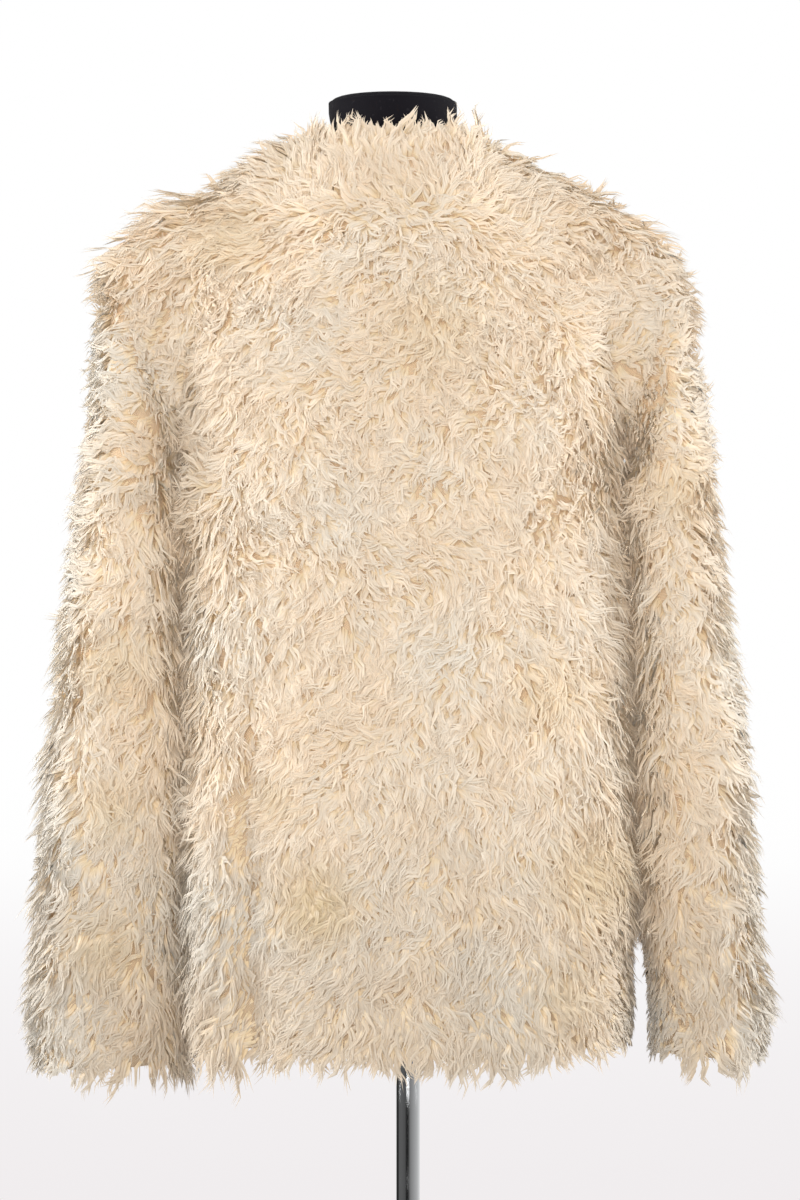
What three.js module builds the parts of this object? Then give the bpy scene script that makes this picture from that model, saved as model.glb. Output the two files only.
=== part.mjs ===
// Collarless hip-length coat of shaggy pile cloth, worn by a limbless dress form on a pole stand.
// Millimetres, +Z up. The coat's front faces -Y and its back +Y, so the wearer's left is +X.
// The origin is the middle of the stand's underside.

import * as THREE from 'three';

// ---- driving dimensions ----

const hemZ = 430; // cloth edge of the back and the fronts
const underarmZ = 905; // foot of the armholes
const wall = 12; // knitted ground with its pile laid on it
const seam = 0.3; // clearance between two sewn pieces
const seat = 0.5; // clearance between the coat's shoulders and the form

const neckHalfWidth = 61; // neck point, on the shoulder seam
const neckPointZ = 1146;
const shoulderHalfWidth = 156; // shoulder tip, at the head of the armhole
const shoulderTipZ = 1096;
const neckShare = 0.36; // share of a panel's half that the neckline takes
const necklineFall = 1.2; // exponent of its drop from the neck point to the centre
const squareness = 2.2; // exponent of the body's rounded sections
const armholeTurnShare = 0.3; // share of the rise after which the armhole's edge turns up

const leanPerMm = 0.018; // the form stands a little off plumb, towards +X
const leanFootZ = 600;

// Across the body: half width, and the depths of the back and the front from the side seams.
const bodySections = [
  { z: 430, halfWidth: 174, back: 138, front: 128 },
  { z: 560, halfWidth: 171, back: 128, front: 121 },
  { z: 700, halfWidth: 169, back: 120, front: 115 },
  { z: 810, halfWidth: 169, back: 117, front: 112 },
  { z: 905, halfWidth: 170, back: 118, front: 112 },
];

// How each half of the body rises from the underarm level to its top edge. share is 0 at the
// centre line and 1 at the armhole. leave is the handle at the underarm level and arrive the one
// at the top edge; y is counted outwards from the side seams.
const backHalf = {
  facing: 1,
  depth: 'back',
  neckDepth: 62,
  neckZ: 1141,
  rise: [
    { share: 0, leaveX: 0, leaveY: 8, leaveZ: 85, arriveX: 0, arriveY: 38, arriveZ: -28 },
    { share: 0.36, leaveX: 0, leaveY: 10, leaveZ: 85, arriveX: 5, arriveY: 44, arriveZ: -14 },
    { share: 0.75, leaveX: -2, leaveY: 22, leaveZ: 68, arriveX: 5, arriveY: 48, arriveZ: -16 },
    { share: 1, leaveX: -10, leaveY: 66, leaveZ: 5, arriveX: -4, arriveY: 54, arriveZ: -16 },
  ],
};
const frontHalf = {
  facing: -1,
  depth: 'front',
  neckDepth: 88,
  neckZ: 1074,
  rise: [
    { share: 0, leaveX: 0, leaveY: 4, leaveZ: 60, arriveX: 0, arriveY: 15, arriveZ: -50 },
    { share: 0.36, leaveX: 0, leaveY: 6, leaveZ: 75, arriveX: 4, arriveY: 38, arriveZ: -16 },
    { share: 0.75, leaveX: -3, leaveY: 20, leaveZ: 66, arriveX: 4, arriveY: 42, arriveZ: -18 },
    { share: 1, leaveX: -12, leaveY: 60, leaveZ: 5, arriveX: -5, arriveY: 48, arriveZ: -18 },
  ],
};

// Soft folds that run up from the hem. share is the place across the panel, from -1 to 1.
const hemFolds = [
  { facing: 1, share: 0.44, spread: 0.06, depth: -6, topZ: 680 },
  { facing: 1, share: 0.62, spread: 0.1, depth: 5, topZ: 720 },
  { facing: 1, share: 0.12, spread: 0.14, depth: 4, topZ: 640 },
  { facing: 1, share: -0.2, spread: 0.1, depth: -4, topZ: 610 },
  { facing: 1, share: -0.55, spread: 0.12, depth: 5, topZ: 700 },
  { facing: -1, share: 0.5, spread: 0.1, depth: 5, topZ: 690 },
  { facing: -1, share: 0.3, spread: 0.08, depth: -4, topZ: 620 },
  { facing: -1, share: -0.42, spread: 0.1, depth: 5, topZ: 660 },
  { facing: -1, share: -0.66, spread: 0.08, depth: -4, topZ: 720 },
];

// Sleeve rings from just under the armhole to the cuff. in is the edge next to the body and out
// the one away from it, both at side * x; deep is half the ring's depth and y its middle.
const sleeveRings = {
  left: [
    { inX: 185, inZ: 888, outX: 243, outZ: 950, deep: 63, y: 0 },
    { inX: 186, inZ: 845, outX: 252, outZ: 868, deep: 65, y: -1 },
    { inX: 185, inZ: 770, outX: 265, outZ: 776, deep: 63, y: -4 },
    { inX: 184, inZ: 685, outX: 276, outZ: 685, deep: 61, y: -8 },
    { inX: 184, inZ: 600, outX: 284, outZ: 598, deep: 61, y: -12 },
    { inX: 184, inZ: 515, outX: 290, outZ: 512, deep: 62, y: -15 },
    { inX: 184, inZ: 450, outX: 296, outZ: 448, deep: 63, y: -17 },
    { inX: 186, inZ: 408, outX: 297, outZ: 404, deep: 63, y: -18 },
  ],
  right: [
    { inX: 178, inZ: 888, outX: 224, outZ: 950, deep: 64, y: 0 },
    { inX: 180, inZ: 845, outX: 233, outZ: 868, deep: 66, y: -1 },
    { inX: 184, inZ: 770, outX: 244, outZ: 776, deep: 64, y: -4 },
    { inX: 187, inZ: 685, outX: 259, outZ: 685, deep: 62, y: -8 },
    { inX: 189, inZ: 600, outX: 266, outZ: 598, deep: 61, y: -12 },
    { inX: 192, inZ: 515, outX: 272, outZ: 512, deep: 62, y: -15 },
    { inX: 197, inZ: 455, outX: 281, outZ: 453, deep: 62, y: -17 },
    { inX: 198, inZ: 416, outX: 283, outZ: 413, deep: 62, y: -18 },
  ],
};
const sleeveSquareness = 2.4;
const capHandle = { left: 0.6, right: 0.47 }; // share of the chord, at the head of the sleeve
const underarmHandle = 0.9; // the same, where the sleeve folds over under the arm
const capTurnIn = 0.15; // how much of the panel's turn round the body the cap keeps
const capSightRings = 0.3; // how far down the rings the cap reads the way it arrives

// Form: level sections from its flat bottom to where the arm ends round over. square is the
// exponent of the section: 2 is an ellipse, and less is leaner towards the arms.
const formSections = [
  { z: 514, halfWidth: 124, back: 80, front: 76, square: 2 },
  { z: 524, halfWidth: 136, back: 90, front: 86, square: 2 },
  { z: 600, halfWidth: 142, back: 96, front: 90, square: 2 },
  { z: 680, halfWidth: 129, back: 86, front: 83, square: 2 },
  { z: 745, halfWidth: 117, back: 79, front: 78, square: 2 },
  { z: 820, halfWidth: 128, back: 87, front: 88, square: 2 },
  { z: 895, halfWidth: 146, back: 98, front: 94, square: 2 },
  { z: 960, halfWidth: 144, back: 97, front: 88, square: 2 },
  { z: 1020, halfWidth: 143, back: 90, front: 76, square: 1.8 },
  { z: 1060, halfWidth: 143, back: 72, front: 58, square: 1.5 },
  { z: 1080, halfWidth: 138, back: 58, front: 46, square: 1.3 },
];

// Form: its depths up the slope of the shoulders, whose half width follows the coat's seam.
const shoulderSections = [
  { z: 1096, back: 46, front: 34 },
  { z: 1103, back: 43, front: 31 },
  { z: 1110, back: 38, front: 24 },
  { z: 1117, back: 30, front: 12 },
];
const shoulderSquareness = 1.1;
const neckRadius = 49.5;
const neckFootRise = 5; // from the last shoulder section to the neck's own ring
const neckTopZ = 1172;
const neckEdge = 6; // how far the neck's top edge is rounded
const neckCrown = 2;

const poleRadius = 9.5;
const baseRadius = 150;
const baseRimHeight = 9;
const baseRimBevel = 3;
const baseBrowRadius = 75; // where the base's slope meets its low crown
const baseBrowHeight = 13;
const baseCrownRadius = 28.5;
const baseCrownHeight = 14;
const collarRadius = 15.2;
const collarFootRadius = 22.8;
const collarFootHeight = 6;
const collarShoulderHeight = 10;
const collarHeight = 34;
const socketRadius = 16.2;
const socketDepth = 42;
const socketRoof = 4;
const flangeRadius = 42;
const flangeHeight = 5;

// How finely each piece is divided.
const lowerRows = 6; // hem to underarm
const riseRows = 12; // underarm to top edge, and half a sleeve ring
const panelColumns = 24;
const capSteps = 8;
const sleeveSteps = 13;
const formColumns = 48;
const turnedSegments = 64;

// ---- small helpers ----

const { lerp, smoothstep } = THREE.MathUtils;
const vec = (x, y, z) => new THREE.Vector3(x, y, z);

// Value of one column of a table at a place between its rows, on a smooth curve.
function read(table, by, column, at) {
  const rising = table[table.length - 1][by] > table[0][by];
  const beyond = (row) => (rising ? row[by] > at : row[by] < at);
  const next = THREE.MathUtils.clamp(table.findIndex(beyond), 1, table.length - 1);
  const k = beyond(table[table.length - 1]) ? next : table.length - 1;
  const slope = (i) => {
    const a = table[Math.max(i - 1, 0)];
    const b = table[Math.min(i + 1, table.length - 1)];
    return (b[column] - a[column]) / (b[by] - a[by]);
  };
  const p = table[k - 1];
  const q = table[k];
  const span = q[by] - p[by];
  const t = THREE.MathUtils.clamp((at - p[by]) / span, 0, 1);
  const h = t * t * (3 - 2 * t);
  const bend = (slope(k - 1) * (1 - t) - slope(k) * t) * span * t * (1 - t);
  return lerp(p[column], q[column], h) + bend;
}

function bezier(p0, p1, p2, p3, t) {
  return new THREE.CubicBezierCurve3(p0, p1, p2, p3).getPoint(t);
}

const leanAt = (z) => (z - leanFootZ) * leanPerMm;

// Rounded-square power of a sine or cosine, which keeps its sign.
const rounded = (value, power) => Math.sign(value) * Math.abs(value) ** (2 / power);

// Closed solid between an outer and an inner grid of points. A round grid joins its last column
// to its first; an open one gets walls at both side edges. The walls at an armhole are split
// along the same diagonals on both sides of the seam, so that they lie flat to each other.
function solidBetween(outer, inner, round) {
  const rows = outer.length;
  const columns = outer[0].length;
  const points = [...outer.flat(), ...inner.flat()];
  const out = (r, c) => r * columns + (c % columns);
  const inn = (r, c) => rows * columns + out(r, c);
  const faces = [];
  const quad = (a, b, c, d) => faces.push(a, b, c, a, c, d);
  const steps = round ? columns : columns - 1;
  const last = rows - 1;
  for (let c = 0; c < steps; c += 1) {
    for (let r = 0; r < last; r += 1) {
      quad(out(r, c), out(r, c + 1), out(r + 1, c + 1), out(r + 1, c));
      quad(inn(r, c), inn(r + 1, c), inn(r + 1, c + 1), inn(r, c + 1));
    }
    const pastHalf = c >= columns / 2;
    if (round && pastHalf) quad(out(0, c), inn(0, c), inn(0, c + 1), out(0, c + 1));
    else quad(inn(0, c), inn(0, c + 1), out(0, c + 1), out(0, c));
    quad(out(last, c), out(last, c + 1), inn(last, c + 1), inn(last, c));
  }
  if (!round) {
    const end = columns - 1;
    for (let r = 0; r < last; r += 1) {
      quad(out(r, 0), out(r + 1, 0), inn(r + 1, 0), inn(r, 0));
      quad(out(r, end), inn(r, end), inn(r + 1, end), out(r + 1, end));
    }
  }
  return facingOut(points, faces);
}

// Indexed geometry whose faces point out, whichever way round the grids ran.
function facingOut(points, faces) {
  let volume = 0;
  const cross = vec(0, 0, 0);
  for (let i = 0; i < faces.length; i += 3) {
    const [a, b, c] = [points[faces[i]], points[faces[i + 1]], points[faces[i + 2]]];
    volume += cross.crossVectors(b, c).dot(a);
  }
  if (volume < 0) faces.reverse();
  const geometry = new THREE.BufferGeometry().setFromPoints(points);
  geometry.setIndex(faces);
  return geometry;
}

// ---- body of the coat ----

const shoulderRun = vec(shoulderHalfWidth - neckHalfWidth, 0, shoulderTipZ - neckPointZ);
const shoulderNormal = vec(-shoulderRun.z, 0, shoulderRun.x).normalize();

// Top edge of a half at a share across it: the neckline, then the straight shoulder seam.
function topEdge(half, share) {
  if (share < neckShare) {
    const turn = (share / neckShare) * (Math.PI / 2);
    const depth = half.neckDepth * Math.cos(turn);
    const z = lerp(neckPointZ, half.neckZ, Math.cos(turn) ** necklineFall);
    return vec(neckHalfWidth * Math.sin(turn), depth, z);
  }
  const along = (share - neckShare) / (1 - neckShare);
  return vec(neckHalfWidth, 0, neckPointZ).addScaledVector(shoulderRun, along);
}

function levelPoint(half, share, z) {
  const turn = share * (Math.PI / 2);
  const x = read(bodySections, 'z', 'halfWidth', z) * rounded(Math.sin(turn), squareness);
  const y = read(bodySections, 'z', half.depth, z) * rounded(Math.cos(turn), squareness);
  return vec(x, y, z);
}

// How far the hem folds push a point of a panel out or in.
function foldAt(half, share, z) {
  return hemFolds
    .filter((fold) => fold.facing === half.facing)
    .map((fold) => {
      const across = (share - fold.share) / fold.spread;
      return fold.depth * Math.exp(-across * across) * smoothstep(-z, -fold.topZ, -hemZ);
    })
    .reduce((sum, value) => sum + value, 0);
}

// Outer surface of one half of the body. share runs from -1 to 1, from the wearer's right.
function bodyPoint(half, share, row) {
  const across = Math.abs(share);
  const point = vec(0, 0, 0);
  if (row <= lowerRows) {
    point.copy(levelPoint(half, across, lerp(hemZ, underarmZ, row / lowerRows)));
    const out = 1 + foldAt(half, share, point.z) / Math.hypot(point.x, point.y);
    point.multiply(vec(out, out, 1));
  } else {
    const foot = levelPoint(half, across, underarmZ);
    const top = topEdge(half, across);
    const handle = (name) =>
      vec(...['X', 'Y', 'Z'].map((axis) => read(half.rise, 'share', name + axis, across)));
    const leave = foot.clone().add(handle('leave'));
    const arrive = top.clone().add(handle('arrive'));
    point.copy(bezier(foot, leave, arrive, top, (row - lowerRows) / riseRows));
  }
  point.x = point.x * Math.sign(share) + leanAt(point.z);
  point.y = (point.y + seam / 2) * half.facing;
  return point;
}

// Normal along an armhole's edge: that of the rounded section at its foot, turning up to that of
// the shoulder seam.
function armholeNormal(half, point, side, row) {
  const { halfWidth, [half.depth]: depth } = bodySections[bodySections.length - 1];
  const x = Math.abs(point.x - leanAt(point.z));
  const level = vec(
    (side * x ** (squareness - 1)) / halfWidth ** squareness,
    (half.facing * Math.abs(point.y) ** (squareness - 1)) / depth ** squareness,
    0
  ).normalize();
  const turned = smoothstep(row - lowerRows, riseRows * armholeTurnShare, riseRows);
  return level.lerp(vec(shoulderNormal.x * side, 0, shoulderNormal.z), turned).normalize();
}

// Normal of a grid at one of its points, with the known normals of the straight seams.
function panelNormal(grid, half, shares, row, column) {
  const share = shares[column];
  const side = Math.sign(share);
  const top = row === grid.length - 1;
  if (top && Math.abs(share) >= neckShare) {
    return vec(shoulderNormal.x * side, 0, shoulderNormal.z);
  }
  if (Math.abs(share) === 1 && row <= lowerRows) return vec(side, 0, 0);
  if (Math.abs(share) === 1) return armholeNormal(half, grid[row][column], side, row);
  const near = (i, size) => [Math.max(i - 1, 0), Math.min(i + 1, size - 1)];
  const [down, up] = near(row, grid.length);
  const [before, after] = near(column, shares.length);
  const rise = grid[up][column].clone().sub(grid[down][column]);
  const across = grid[row][after].clone().sub(grid[row][before]);
  const normal = rise.cross(across).multiplyScalar(half.facing);
  if (share === 0) normal.x = 0;
  return normal.normalize();
}

// One panel of the body: its outer and inner grids, from hem to top edge. A front stands half a
// seam off the centre line.
function bodyPanel(half, fromShare, toShare, columns) {
  const shares = Array.from({ length: columns + 1 }, (_, c) => {
    const share = lerp(fromShare, toShare, c / columns);
    const nearNeck = Math.abs(Math.abs(share) - neckShare) < (toShare - fromShare) / columns / 2;
    return nearNeck ? Math.sign(share) * neckShare : share;
  });
  const aside = (Math.sign(fromShare + toShare) * seam) / 2;
  const outer = Array.from({ length: lowerRows + riseRows + 1 }, (_, row) =>
    shares.map((share) => bodyPoint(half, share, row).add(vec(aside, 0, 0)))
  );
  const inner = outer.map((line, row) =>
    line.map((point, column) =>
      point.clone().addScaledVector(panelNormal(outer, half, shares, row, column), -wall)
    )
  );
  return { outer, inner };
}

// ---- sleeves ----

// Armhole edge of a back and a front panel, from the shoulder tip round the back to the underarm
// and up the front. Each point has its outer and inner place and the way that the sleeve leaves.
function armholeLoop(back, front, side) {
  const columnOf = (panel) => {
    const first = panel.outer[0][0].x * side;
    const last = panel.outer[0][panel.outer[0].length - 1].x * side;
    return first > last ? 0 : panel.outer[0].length - 1;
  };
  const edge = (panel) => {
    const column = columnOf(panel);
    return panel.outer
      .map((line, row) => ({ outer: line[column].clone(), inner: panel.inner[row][column].clone() }))
      .slice(lowerRows);
  };
  const backEdge = edge(back).reverse();
  const frontEdge = edge(front);
  const loop = [...backEdge, ...frontEdge.slice(1, -1)];
  for (const joint of [loop[0], loop[riseRows]]) {
    joint.outer.y = 0;
    joint.inner.y = 0;
  }
  for (const point of loop) {
    point.outer.x *= side;
    point.inner.x *= side;
  }
  return loop.map((point, i) => {
    const before = loop[(i + loop.length - 1) % loop.length].outer;
    const after = loop[(i + 1) % loop.length].outer;
    const along = after.clone().sub(before);
    const through = point.outer.clone().sub(point.inner);
    return { ...point, leave: along.cross(through).normalize() };
  });
}

// One ring of the sleeve's table, at a place between its rows. shrink is the wall for the inside.
function sleeveRing(rings, at, shrink) {
  const numbered = rings.map((ring, i) => ({ ...ring, i }));
  const get = (column) => read(numbered, 'i', column, at);
  const inside = vec(get('inX'), get('y'), get('inZ'));
  const outside = vec(get('outX'), get('y'), get('outZ'));
  const middle = inside.clone().add(outside).multiplyScalar(0.5);
  const reach = outside.clone().sub(middle);
  reach.setLength(reach.length() - shrink);
  const deep = get('deep') - shrink;
  return Array.from({ length: 2 * riseRows }, (_, j) => {
    const turn = (j / riseRows) * Math.PI;
    return middle
      .clone()
      .addScaledVector(reach, rounded(Math.cos(turn), sleeveSquareness))
      .add(vec(0, deep * rounded(Math.sin(turn), sleeveSquareness), 0));
  });
}

// Rows of points of a sleeve's outer or inner face: the cap from the armhole, then the rings.
function sleeveFace(rings, handleShare, loop, face, shrink) {
  const first = sleeveRing(rings, 0, shrink);
  const below = sleeveRing(rings, capSightRings, shrink);
  const cap = Array.from({ length: capSteps }, (_, k) =>
    loop.map((point, j) => {
      const start = point[face].clone().addScaledVector(point.leave, seam);
      const turn = (j / riseRows) * Math.PI;
      const share = lerp(underarmHandle, handleShare, (1 + Math.cos(turn)) / 2);
      const handle = share * start.distanceTo(first[j]);
      const outwards = vec(point.leave.x, point.leave.y * capTurnIn, point.leave.z).normalize();
      const leave = start.clone().addScaledVector(outwards, handle);
      const back = first[j].clone().sub(below[j]).setLength(handle);
      return bezier(start, leave, first[j].clone().add(back), first[j], k / capSteps);
    })
  );
  const last = rings.length - 1;
  const tube = Array.from({ length: sleeveSteps + 1 }, (_, k) =>
    sleeveRing(rings, (k / sleeveSteps) * last, shrink)
  );
  return [...cap, ...tube];
}

function sleeve(name, back, front, side) {
  const rings = sleeveRings[name];
  const loop = armholeLoop(back, front, side);
  const mirror = (grid) => grid.map((line) => line.map((p) => vec(p.x * side, p.y, p.z)));
  const face = (which, shrink) => mirror(sleeveFace(rings, capHandle[name], loop, which, shrink));
  const outer = face('outer', 0);
  const inner = face('inner', wall);
  return solidBetween(outer, inner, true);
}

// ---- dress form ----

// Half width of the form where it fills the coat's shoulders, along the slope of the seam.
function shoulderFill(z) {
  const inset = shoulderNormal.clone().multiplyScalar(-(wall + seat));
  const start = vec(neckHalfWidth, 0, neckPointZ).add(inset);
  return start.x + ((z - start.z) / shoulderRun.z) * shoulderRun.x;
}

// One level of the form, by its radius at even turns. Up the shoulders it holds the neck too.
function formRing({ z, halfWidth, back, front, square }) {
  return Array.from({ length: formColumns }, (_, c) => {
    const turn = (c / formColumns) * 2 * Math.PI;
    const [across, through] = [Math.cos(turn), Math.sin(turn)];
    const depth = through > 0 ? back : front;
    const terms = Math.abs(across / halfWidth) ** square + Math.abs(through / depth) ** square;
    const least = z < shoulderSections[0].z ? 0 : neckRadius;
    const radius = Math.max(terms ** (-1 / square), least);
    return vec(radius * across + leanAt(z), radius * through, z);
  });
}

function formBody() {
  const slope = shoulderSections.map((section) => ({
    ...section,
    halfWidth: shoulderFill(section.z),
    square: shoulderSquareness,
  }));
  const neckRing = (z, radius) => ({ z, halfWidth: radius, back: radius, front: radius, square: 2 });
  const levels = [
    ...formSections,
    ...slope,
    neckRing(slope[slope.length - 1].z + neckFootRise, neckRadius),
    neckRing(neckTopZ - neckEdge, neckRadius),
    neckRing(neckTopZ - neckEdge / 3, neckRadius - neckEdge / 4),
    neckRing(neckTopZ, neckRadius - neckEdge),
  ];
  const rings = levels.map(formRing);
  const foot = vec(leanAt(levels[0].z), 0, levels[0].z);
  const crown = vec(leanAt(neckTopZ), 0, neckTopZ + neckCrown);
  const points = [...rings.flat(), foot, crown];
  const faces = [];
  for (let c = 0; c < formColumns; c += 1) {
    const d = (c + 1) % formColumns;
    for (let r = 0; r < rings.length - 1; r += 1) {
      const low = r * formColumns;
      const high = low + formColumns;
      faces.push(low + c, low + d, high + d, low + c, high + d, high + c);
    }
    const top = (rings.length - 1) * formColumns;
    faces.push(points.length - 2, d, c);
    faces.push(points.length - 1, top + c, top + d);
  }
  return facingOut(points, faces);
}

// ---- stand ----

// Turned piece from a profile of [radius, height] pairs that closes on itself or on the axis.
function turned(profile) {
  const outline = profile.map(([radius, height]) => new THREE.Vector2(radius, height));
  const geometry = new THREE.LatheGeometry(outline, turnedSegments);
  geometry.rotateX(Math.PI / 2);
  return geometry;
}

const flangeTopZ = formSections[0].z - seam;
const socketTopZ = flangeTopZ - flangeHeight - seam;
const poleTopZ = socketTopZ - socketRoof - seam;
const poleFootZ = baseCrownHeight + seam;

const base = turned([
  [0, 0],
  [baseRadius, 0],
  [baseRadius, baseRimHeight - baseRimBevel],
  [baseRadius - baseRimBevel, baseRimHeight],
  [baseBrowRadius, baseBrowHeight],
  [baseCrownRadius, baseCrownHeight],
  [0, baseCrownHeight],
]);

const collarBore = poleRadius + seam;
const collar = turned([
  [collarBore, poleFootZ],
  [collarFootRadius, poleFootZ],
  [collarFootRadius, poleFootZ + collarFootHeight],
  [collarRadius, poleFootZ + collarShoulderHeight],
  [collarRadius, poleFootZ + collarHeight],
  [collarBore, poleFootZ + collarHeight],
  [collarBore, poleFootZ],
]);

const pole = turned([
  [0, poleFootZ],
  [poleRadius, poleFootZ],
  [poleRadius, poleTopZ],
  [0, poleTopZ],
]);

const flange = turned([
  [0, flangeTopZ - flangeHeight],
  [flangeRadius, flangeTopZ - flangeHeight],
  [flangeRadius, flangeTopZ],
  [0, flangeTopZ],
]);

const socket = turned([
  [0, socketTopZ],
  [0, poleTopZ + seam],
  [collarBore, poleTopZ + seam],
  [collarBore, socketTopZ - socketDepth],
  [socketRadius, socketTopZ - socketDepth],
  [socketRadius, socketTopZ],
  [0, socketTopZ],
]);

// ---- assembly ----

const group = new THREE.Group();

function add(name, geometry, finish) {
  const mesh = new THREE.Mesh(geometry, new THREE.MeshStandardMaterial(finish));
  mesh.name = name;
  group.add(mesh);
}

const pileFinish = { color: 0xe6d2b4, roughness: 0.95, metalness: 0 };
const formFinish = { color: 0x17171a, roughness: 0.85, metalness: 0 };
const chromeFinish = { color: 0xc9ccd0, roughness: 0.15, metalness: 1 };

const back = bodyPanel(backHalf, -1, 1, panelColumns);
const frontRight = bodyPanel(frontHalf, -1, 0, panelColumns / 2);
const frontLeft = bodyPanel(frontHalf, 0, 1, panelColumns / 2);

add('coat_back', solidBetween(back.outer, back.inner, false), pileFinish);
add('coat_front_left', solidBetween(frontLeft.outer, frontLeft.inner, false), pileFinish);
add('coat_front_right', solidBetween(frontRight.outer, frontRight.inner, false), pileFinish);
add('sleeve_left', sleeve('left', back, frontLeft, 1), pileFinish);
add('sleeve_right', sleeve('right', back, frontRight, -1), pileFinish);
add('form_torso', formBody(), formFinish);
add('form_flange', flange, chromeFinish);
add('pole_socket', socket, chromeFinish);
add('pole', pole, chromeFinish);
add('pole_collar', collar, chromeFinish);
add('base', base, chromeFinish);

export default group;
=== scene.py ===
# %% [markdown]
# # A shaggy pile coat on its dress form
# The coat is a short, straight, collarless one. Its cloth is a knitted ground with long wavy
# locks standing in it, and it hangs from the shoulders of a black dress form on a chrome pole.
# This lesson dresses the plain construction model in that cloth. The construction gives every
# size and place, so the first cell loads it, and nothing in it is moved.

import math

import bmesh
import bpy
import numpy as np
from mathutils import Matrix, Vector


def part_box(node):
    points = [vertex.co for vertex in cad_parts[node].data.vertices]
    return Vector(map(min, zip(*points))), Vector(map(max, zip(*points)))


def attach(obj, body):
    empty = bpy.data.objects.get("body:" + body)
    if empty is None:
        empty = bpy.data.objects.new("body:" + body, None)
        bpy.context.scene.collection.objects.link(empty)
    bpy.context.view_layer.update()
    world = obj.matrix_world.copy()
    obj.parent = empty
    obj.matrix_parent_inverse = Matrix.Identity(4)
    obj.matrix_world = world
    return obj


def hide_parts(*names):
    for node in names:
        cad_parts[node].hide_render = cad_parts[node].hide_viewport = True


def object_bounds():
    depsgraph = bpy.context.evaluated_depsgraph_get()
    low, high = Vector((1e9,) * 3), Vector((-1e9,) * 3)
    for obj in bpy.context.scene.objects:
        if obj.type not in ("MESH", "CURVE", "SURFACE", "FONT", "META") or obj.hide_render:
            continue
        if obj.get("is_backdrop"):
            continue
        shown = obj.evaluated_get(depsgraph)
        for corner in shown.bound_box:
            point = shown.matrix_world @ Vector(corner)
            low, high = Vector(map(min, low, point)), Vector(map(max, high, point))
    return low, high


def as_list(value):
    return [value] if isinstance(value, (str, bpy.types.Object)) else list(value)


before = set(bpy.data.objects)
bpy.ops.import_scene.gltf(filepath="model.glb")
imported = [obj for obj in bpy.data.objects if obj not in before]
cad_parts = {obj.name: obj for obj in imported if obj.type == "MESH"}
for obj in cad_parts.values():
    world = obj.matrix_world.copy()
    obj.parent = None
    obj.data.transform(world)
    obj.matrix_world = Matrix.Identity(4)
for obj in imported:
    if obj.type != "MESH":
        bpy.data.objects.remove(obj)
cad_bounds = [list(corner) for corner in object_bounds()]
MM = 0.001
print("nodes:", ", ".join(sorted(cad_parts)))

# %% [markdown]
# ## The camera
# The coat is shown square from behind, as a tailor looks at the hang of a back. A long lens from
# a few steps away keeps the sleeves and the back at one scale. A shorter lens from nearer would
# swell the back and shrink the cuffs. The camera is level, so upright lines stay upright.

# %% Place the camera
CAMERA_ASIDE = 6.4 * MM
CAMERA_AWAY = 2.6
CAMERA_HEIGHT = 0.775
LENS_MM = 97.5

scene = bpy.context.scene
camera = bpy.data.objects.new("camera", bpy.data.cameras.new("camera"))
camera.data.lens = LENS_MM
camera.location = (CAMERA_ASIDE, CAMERA_AWAY, CAMERA_HEIGHT)
camera.rotation_euler = (math.radians(90), 0, math.radians(180))
scene.collection.objects.link(camera)
scene.camera = camera
scene.view_settings.view_transform = "Standard"
print("camera", CAMERA_AWAY, "m behind the coat and", CAMERA_HEIGHT, "m up")

# %% [markdown]
# ## Helpers for nodes
# Every finish below is a node tree. A few helpers keep those trees short to read. One adds a node
# with its values and links. Others make the sums, ramps and mixtures that come up again and again.


# %% Node helpers
def fill(tree, made, values):
    """Fills a node's inputs, by name or number, from plain values or sockets."""
    for key, value in dict(values).items():
        if isinstance(value, bpy.types.NodeSocket):
            tree.links.new(value, made.inputs[key])
        else:
            made.inputs[key].default_value = value
    return made


def node(tree, kind, values=(), **settings):
    made = tree.nodes.new("ShaderNode" + kind)
    for name, setting in settings.items():
        setattr(made, name, setting)
    return fill(tree, made, values)


def add_up(tree, first, second):
    return node(tree, "Math", {0: first, 1: second}, operation="ADD").outputs[0]


def times(tree, first, second):
    return node(tree, "Math", {0: first, 1: second}, operation="MULTIPLY").outputs[0]


def remap(tree, value, low, high, to_low=0.0, to_high=1.0):
    values = {0: value, 1: low, 2: high, 3: to_low, 4: to_high}
    return node(tree, "MapRange", values, interpolation_type="SMOOTHSTEP").outputs[0]


def mix(tree, share, first, second, blend="MIX"):
    values = {0: share, 6: first, 7: second}
    return node(tree, "Mix", values, data_type="RGBA", blend_type=blend).outputs[2]


def noise(tree, place, scale, detail=2.0):
    return node(tree, "TexNoise", {"Vector": place, "Scale": scale, "Detail": detail}).outputs[0]


def place_of(tree):
    """Where a point lies on the object, in metres."""
    return node(tree, "TexCoord").outputs["Object"]


# %% Helpers for groups and materials
def group(name, inputs, outputs):
    """A node group with named sockets: the tree, its inputs and its outputs."""
    tree = bpy.data.node_groups.new(name, "ShaderNodeTree")
    for socket, kind, value in inputs:
        kind = "NodeSocket" + kind
        tree.interface.new_socket(socket, in_out="INPUT", socket_type=kind).default_value = value
    for socket, kind in outputs:
        tree.interface.new_socket(socket, in_out="OUTPUT", socket_type="NodeSocket" + kind)
    entry = tree.nodes.new("NodeGroupInput").outputs
    return tree, entry, tree.nodes.new("NodeGroupOutput").inputs


def placed(tree, inner, values=()):
    """The outputs of a group placed in a material with that material's own values."""
    made = tree.nodes.new("ShaderNodeGroup")
    made.node_tree = inner
    return fill(tree, made, values).outputs


def finish_named(name, values):
    """A new material, its tree and its Principled shader with these plain values."""
    made = bpy.data.materials.new(name)
    made.use_nodes = True
    tree = made.node_tree
    return made, tree, fill(tree, tree.nodes["Principled BSDF"], values)


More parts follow.
